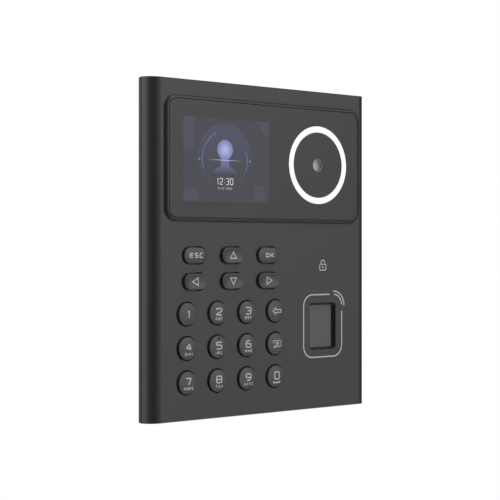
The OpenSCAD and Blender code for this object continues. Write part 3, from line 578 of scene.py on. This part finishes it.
def make_ring_light():
    """The lit ring's face, with its two edges turned back."""
    form = Form()
    o = FRONT - 0.02
    outer, inner = 18.2, 15.35
    form.sheet(circle_loop(outer - 0.05, CAMERA, o, 120), [circle_loop(inner + 0.05, CAMERA, o, 120)])
    form.loft([circle_loop(outer, CAMERA, o - 0.04, 120), circle_loop(outer - 0.05, CAMERA, o, 120)],
              back=False, front=False)
    form.loft([circle_loop(inner + 0.05, CAMERA, o, 120), circle_loop(inner, CAMERA, o - 0.04, 120)],
              back=False, front=False)
    form.finish("ring_light", [RING], slot="diffuser")


def make_lens():
    """A very shallow glass dome at the bottom of the sight hole."""
    low, high = node_box("camera_lens")
    form = Form()
    loops = [circle_loop(HOLE_R - 0.05, CAMERA, low[2], 48)]
    for i in range(8):
        a = math.radians(90 * i / 8)
        loops.append(circle_loop((HOLE_R - 0.05) * math.cos(a), CAMERA,
                                 high[2] - 0.15 + 0.15 * math.sin(a), 48))
    form.loft(loops)
    form.finish("camera_lens_dome", [LENS], replaces=("camera_lens",), slot="lens")


def lit(name, near, far=None, centre=(0, 0), reach=1.0, across=(1, 0, 1)):
    """A lit patch of the screen: near at a centre (x, u) in mm, fading to far at reach mm."""
    mat, tree, shader = new_material(name)
    nodes, links = tree.nodes, tree.links
    place = nodes.new("ShaderNodeTexCoord")
    offset = nodes.new("ShaderNodeVectorMath")
    offset.operation = "SUBTRACT"
    offset.inputs[1].default_value = (centre[0] * MM, 0, centre[1] * MM)
    links.new(place.outputs["Object"], offset.inputs[0])
    flat = nodes.new("ShaderNodeVectorMath")
    flat.operation = "MULTIPLY"
    flat.inputs[1].default_value = across
    links.new(offset.outputs["Vector"], flat.inputs[0])
    length = nodes.new("ShaderNodeVectorMath")
    length.operation = "LENGTH"
    links.new(flat.outputs["Vector"], length.inputs[0])
    fade = nodes.new("ShaderNodeMapRange")
    fade.inputs["From Max"].default_value = reach * MM
    links.new(length.outputs["Value"], fade.inputs["Value"])
    blend = nodes.new("ShaderNodeMix")
    blend.data_type = "RGBA"
    blend.inputs["A"].default_value = (*near, 1)
    blend.inputs["B"].default_value = (*(far or near), 1)
    links.new(fade.outputs["Result"], blend.inputs["Factor"])
    cells = nodes.new("ShaderNodeTexNoise")
    cells.inputs["Scale"].default_value = 1 / (0.3 * MM)
    links.new(place.outputs["Object"], cells.inputs["Vector"])
    grain = nodes.new("ShaderNodeMapRange")
    grain.inputs["To Min"].default_value = 0.94
    grain.inputs["To Max"].default_value = 1.06
    links.new(cells.outputs["Fac"], grain.inputs["Value"])
    links.new(blend.outputs["Result"], shader.inputs["Emission Color"])
    links.new(grain.outputs["Result"], shader.inputs["Emission Strength"])
    shader.inputs["Base Color"].default_value = (0.004, 0.004, 0.005, 1)
    shader.inputs["Roughness"].default_value = 0.4
    # The emitted colours are the screen's own light plus a painted reflection of the cover glass, so
    # the shader's own reflection is kept faint.
    shader.inputs["Specular IOR Level"].default_value = 0.04
    return mat


SCREEN_W, SCREEN_H = 48.96, 36.72
SCREEN_MARGIN = 2.6
LAYER = 0.006


def arc(centre, r, start, end, n=12):
    """Points along a circle, from one angle in degrees to another."""
    angles = [math.radians(start + (end - start) * i / n) for i in range(n + 1)]
    return [(centre[0] + r * math.cos(a), centre[1] + r * math.sin(a)) for a in angles]


class Picture:
    """Draws flat shapes in layers on the screen. Places are (x, u) from the picture's centre."""

    def __init__(self, at, back):
        self.form, self.at, self.back, self.mats = Form(), at, back, []

    def shade(self, name, near, far=None, centre=(0, 0), reach=1.0, across=(1, 0, 1)):
        centre = (centre[0] + self.at[0], centre[1] + self.at[1])
        self.mats.append(lit("screen_" + name, near, far, centre, reach, across))
        return len(self.mats) - 1

    def fill(self, points, layer, slot):
        """A filled shape, cut off at the picture's edges."""
        placed = []
        for x, u in points:
            x = min(max(x, -SCREEN_W / 2), SCREEN_W / 2)
            u = min(max(u, -SCREEN_H / 2), SCREEN_H / 2)
            placed.append((self.at[0] + x, self.at[1] + u, self.back + layer * LAYER))
        self.form.sheet(placed, (), slot)

    def stroke(self, points, width, layer, slot):
        placed = [(self.at[0] + x, self.at[1] + u) for x, u in points]
        self.form.strip(placed, width, lambda x, u: self.back + layer * LAYER, False, slot)


def draw_person(picture, x, ground):
    """A plain head, neck and shoulders that glow at the head and fade out downwards."""
    glow = picture.shade("head", tint(180, 188, 230), tint(116, 120, 172), (x, 4.6), 4.9)
    fade = picture.shade("body", tint(118, 122, 174), ground, (0, 0.0), 6.3, (0, 0, 1))
    shoulders = [(7.2, -6.6), (6.7, -5.0), (5.2, -3.9), (3.4, -3.2), (2.5, -2.4), (2.3, -1.0)]
    half = shoulders + [(2.4, 0.4)]
    picture.fill([(x + a, b) for a, b in half] + [(x - a, b) for a, b in reversed(half)], 3, fade)
    head = [(x + 4.5 * math.cos(a) * (1 - 0.12 * max(0.0, -math.sin(a))), 4.5 + 4.6 * math.sin(a))
            for a in (2 * math.pi * i / 64 for i in range(64))]
    picture.fill(head, 4, glow)


def draw_finder(picture, x, ground):
    """A faint disc, a ring with two brighter arcs, two dots and a scanning line."""
    disc = picture.shade("disc", tint(85, 85, 102), ground, (0, 13), 22, (0, 0, 1))
    faint = picture.shade("ring", tint(91, 92, 110))
    bright = picture.shade("arc", tint(106, 110, 150))
    dot = picture.shade("dot", tint(128, 136, 190))
    line = picture.shade("line", tint(196, 196, 220), tint(94, 96, 116), (x, 0), 9.6, (1, 0, 0))
    picture.fill(arc((x, 0.6), 15.7, 0, 354, 59), 1, disc)
    for start, end in ((50, 17), (-21, -50), (197, 232)):
        picture.stroke(arc((x, 0), 12.8, start, end), 0.28, 2, faint)
    for start, end in ((112, 197), (17, -21)):
        picture.stroke(arc((x, 0), 12.8, start, end, 24), 0.5, 2, bright)
    for side in (-1, 1):
        picture.fill(arc((x + side * 14.4, 0), 0.44, 0, 345, 23), 3, dot)
    picture.stroke([(x - 9.4, 0), (x + 9.4, 0)], 0.3, 6, line)


def make_screen():
    """The lit picture: a plain person in a round finder, a clock, a date and four soft marks."""
    low, high = node_box("display_panel")
    at = (low[0] + SCREEN_MARGIN + SCREEN_W / 2, (low[1] + high[1]) / 2)
    picture = Picture(at, FRONT - 0.055)
    # Painted reflection: the screen's ground is dark, and this grey glow stands in for the cover
    # glass's reflection on it.
    ground = tint(77, 77, 84)
    base = picture.shade("ground", ground)
    mark = picture.shade("mark", tint(83, 83, 94))
    clock = picture.shade("clock", tint(206, 208, 212))
    date = picture.shade("date", tint(158, 160, 166))
    picture.form.loft([rounded_loop(SCREEN_W, SCREEN_H, 0.15, at, picture.back - 0.01),
                       rounded_loop(SCREEN_W, SCREEN_H, 0.15, at, picture.back)], base)
    x = -1.25
    draw_finder(picture, x, ground)
    draw_person(picture, x, ground)
    picture.fill([(-18.5, 19), (-24.6, 19)] + arc((-21.5, 6.6), 3.05, 180, 360), 1, mark)
    for centre, r in (((24.35, 17.0), 5.25), ((-20.6, -16.8), 4.1), ((18.95, -13.8), 3.4)):
        picture.fill(arc(centre, r, 0, 354, 59), 1, mark)
    words = (("12:30", (x, -9.4), 9.2, 3.1, 0.36, 0.3, clock),
             ("01-01-2000", (x, -12.5), 8.0, 1.1, 0.22, 0.3, date))
    for text, place, width, height, stroke, gap, slot in words:
        for closed, points in writing(text, place, width, height, stroke, gap):
            loop = points + points[:1] if closed else points
            picture.stroke(loop, stroke, 6, slot)
    picture.form.finish("screen_picture", picture.mats, slot="display")


# ---------------------------------------------------------------- fingerprint reader and marks

def make_finger_well():
    """A thin liner on the leaning walls of the finger's recess, made dark as painted shade for the
    shadow that falls in it, and the sensor under it.
    """
    at = middle("fingerprint_platen")
    low, high = node_box("fingerprint_platen")
    mouth_w, mouth_h, taper = 16.6, 21.95, 0.9
    gap = 0.03
    form = Form()
    loops = []
    for o, inset in ((FACE - 0.02, 0.0), (FACE - 0.2, 0.1), (high[2] - 0.02, taper)):
        loops.append(rounded_loop(mouth_w - 2 * (inset + gap), mouth_h - 2 * (inset + gap),
                                  1.6 - inset / 2, at, o))
    floor = rounded_loop(mouth_w - 2 * taper - 0.5, mouth_h - 2 * taper - 0.5, 1.0, at, high[2] - 0.02)
    form.loft(list(reversed(loops + [floor])), front=False, back=False)
    form.faces = [tuple(reversed(face)) for face in form.faces]
    form.finish("finger_well", [RECESS_SHADE], slot="black_plastic")
    plate = Form()
    w, h = mouth_w - 2 * taper - 0.25, mouth_h - 2 * taper - 0.25
    rings = [rounded_loop(high[0] - low[0], high[1] - low[1], 1, at, low[2]),
             rounded_loop(high[0] - low[0], high[1] - low[1], 1, at, low[2] + 1.5),
             rounded_loop(w, h, 0.8, at, low[2] + 1.5), rounded_loop(w, h, 0.8, at, high[2] - 0.1),
             rounded_loop(w - 0.2, h - 0.2, 0.7, at, high[2])]
    plate.loft(rings)
    plate.finish("sensor_plate", [SENSOR], replaces=("fingerprint_platen",), slot="sensor")


PRINT_T = 0.015


def make_marks():
    """Printed lines on the face: the card reader's outline and a small padlock."""
    form = Form()
    at = middle("fingerprint_platen")

    def lift(x, u):
        return FACE + PRINT_T

    x0, x1, u0, u1, r = at[0] - 12.25, at[0] + 12.25, at[1] - 14.5, at[1] + 14.9, 5.4
    body = [(x0 + 16.7, u1)] + arc((x0 + r, u1 - r), r, 90, 180) + arc((x0 + r, u0 + r), r, 180, 270)
    body += arc((x1 - r, u0 + r), r, 270, 360) + [(x1, u1 - 7.9)]
    form.strip(body, 0.6, lift, False, 0)
    form.strip(arc((x1 - r, u1 - r), r, 4, 86), 0.6, lift, False, 0)
    form.strip(arc((x1 - r, u1 - r), r + 1.5, -2, 92, 14), 0.6, lift, False, 0)
    lock = (at[0], -7.6)
    form.strip(outline([(-2.0, -1.9), (2.0, -1.9), (2.0, 0.9), (-2.0, 0.9)], lock, 1, 0.5)[1],
               0.45, lift, True, 0)
    form.strip([(lock[0] - 1.25, lock[1] + 0.9), (lock[0] - 1.25, lock[1] + 1.6)]
               + arc((lock[0], lock[1] + 1.6), 1.25, 180, 0), 0.45, lift, False, 0)
    form.sheet(circle_loop(0.5, (lock[0], lock[1] - 0.45), FACE + PRINT_T, 20))
    form.finish("face_marks", [LEGEND], slot="white_plastic")


make_window_frame()
make_window_panel()
make_ring_light()
make_lens()
make_screen()
make_finger_well()
make_marks()


# ---------------------------------------------------------------- floor, light and camera

VIEW_TURN = math.radians(-40.042)
VIEW_ASIDE = 0.4162
VIEW_DISTANCE = 0.4835
VIEW_LENS = 100.7
TOWARDS_CAMERA = (math.sin(VIEW_TURN), -math.cos(VIEW_TURN), 0.0)


def make_floor():
    """A pale floor, as far below the terminal as it is from one that hangs on a wall."""
    mesh = bpy.data.meshes.new("floor")
    near, far, side, z = -0.8, 4.0, 1.2, -1.2
    ahead = Vector((-TOWARDS_CAMERA[0], -TOWARDS_CAMERA[1], 0))
    across = Vector((ahead.y, -ahead.x, 0))
    corners = [ahead * a + across * b + Vector((0, 0, z))
               for a, b in ((near, side), (far, side), (far, -side), (near, -side))]
    mesh.from_pydata([tuple(c) for c in corners], [], [(0, 3, 2, 1)])
    floor = bpy.data.objects.new("floor", mesh)
    bpy.context.scene.collection.objects.link(floor)
    pale = mottled("pale_floor", same(0.86), same(0.9), (0.7, 0.8), 300, glow=same(0.3))
    mesh.materials.append(pale)


# The studio's brightness all round, as (degrees, value) pairs. Degrees count from the front
# towards the right: a bright wall ahead and to the right of the face, black drapes round the
# camera and to the right, and a white wall at the back.
ROUND = ((-180, 0.85), (-150, 0.85), (-134, 0.70), (-114, 0.48), (-94, 0.23), (-74, 0.07),
         (-54, 0.03), (-24, 0.12), (-4, 0.40), (16, 0.82), (34, 1.16), (44, 0.80), (54, 0.28),
         (64, 0.04), (74, 0.0), (90, 0.0), (155, 0.0), (170, 0.6), (180, 0.85))
# The same by height, as (sine of the elevation, value) pairs
HEIGHT = ((-1, 0.05), (-0.7, 0.08), (-0.34, 0.26), (-0.17, 0.50), (0, 0.72), (0.17, 0.88),
          (0.5, 1.0), (1, 0.8))
STUDIO = 2.2


def brightness(nodes, links, value, low, high, pairs):
    """A grey ramp over a value that runs from low to high."""
    turn = nodes.new("ShaderNodeMapRange")
    turn.inputs["From Min"].default_value = low
    turn.inputs["From Max"].default_value = high
    links.new(value, turn.inputs["Value"])
    ramp = nodes.new("ShaderNodeValToRGB")
    stops = ramp.color_ramp.elements
    stops.remove(stops[1])
    for i, (at, level) in enumerate(pairs):
        stop = stops[0] if i == 0 else stops.new((at - pairs[0][0]) / (pairs[-1][0] - pairs[0][0]))
        if i == 0:
            stop.position = 0
        stop.color = (level, level, level, 1)
    links.new(turn.outputs["Result"], ramp.inputs["Fac"])
    return ramp.outputs["Color"]


def make_world():
    """White to the camera. As light it follows ROUND and HEIGHT."""
    world = bpy.data.worlds.new("studio")
    bpy.context.scene.world = world
    world.use_nodes = True
    nodes, links = world.node_tree.nodes, world.node_tree.links
    background = nodes["Background"]
    place = nodes.new("ShaderNodeTexCoord")
    split = nodes.new("ShaderNodeSeparateXYZ")
    links.new(place.outputs["Generated"], split.inputs["Vector"])
    front = nodes.new("ShaderNodeMath")
    front.operation = "MULTIPLY"
    front.inputs[1].default_value = -1
    links.new(split.outputs["Y"], front.inputs[0])
    heading = nodes.new("ShaderNodeMath")
    heading.operation = "ARCTAN2"
    links.new(split.outputs["X"], heading.inputs[0])
    links.new(front.outputs["Value"], heading.inputs[1])
    around_it = brightness(nodes, links, heading.outputs["Value"], -math.pi, math.pi, ROUND)
    upwards = brightness(nodes, links, split.outputs["Z"], -1, 1, HEIGHT)
    light = nodes.new("ShaderNodeMix")
    light.data_type = "RGBA"
    light.blend_type = "MULTIPLY"
    light.inputs["Factor"].default_value = 1
    links.new(around_it, light.inputs["A"])
    links.new(upwards, light.inputs["B"])
    path = nodes.new("ShaderNodeLightPath")
    level = nodes.new("ShaderNodeMapRange")
    level.inputs["To Min"].default_value = STUDIO
    level.inputs["To Max"].default_value = 1.0
    links.new(path.outputs["Is Camera Ray"], level.inputs["Value"])
    seen = nodes.new("ShaderNodeMix")
    seen.data_type = "RGBA"
    seen.inputs["B"].default_value = (1, 1, 1, 1)
    links.new(path.outputs["Is Camera Ray"], seen.inputs["Factor"])
    links.new(light.outputs["Result"], seen.inputs["A"])
    links.new(seen.outputs["Result"], background.inputs["Color"])
    links.new(level.outputs["Result"], background.inputs["Strength"])


def softbox(name, at, size, power):
    """A rectangular lamp that points at the terminal."""
    data = bpy.data.lights.new(name, "AREA")
    data.shape = "RECTANGLE"
    data.size, data.size_y = size
    data.energy = power
    lamp = bpy.data.objects.new(name, data)
    lamp.location = at
    lamp.rotation_euler = (-Vector(at)).to_track_quat("-Z", "Y").to_euler()
    bpy.context.scene.collection.objects.link(lamp)


make_floor()
make_world()
softbox("softbox_top", (0.0, -0.2, 1.5), (1.6, 1.6), 5)

camera_data = bpy.data.cameras.new("camera")
camera_data.sensor_width = 36
camera_data.lens = VIEW_LENS
camera = bpy.data.objects.new("camera", camera_data)
camera.location = (-VIEW_ASIDE, -VIEW_DISTANCE - FACE * MM, 0.0)
camera.rotation_euler = (math.radians(90), 0, VIEW_TURN)
bpy.context.scene.collection.objects.link(camera)
bpy.context.scene.camera = camera
bpy.context.scene.view_settings.view_transform = "Standard"
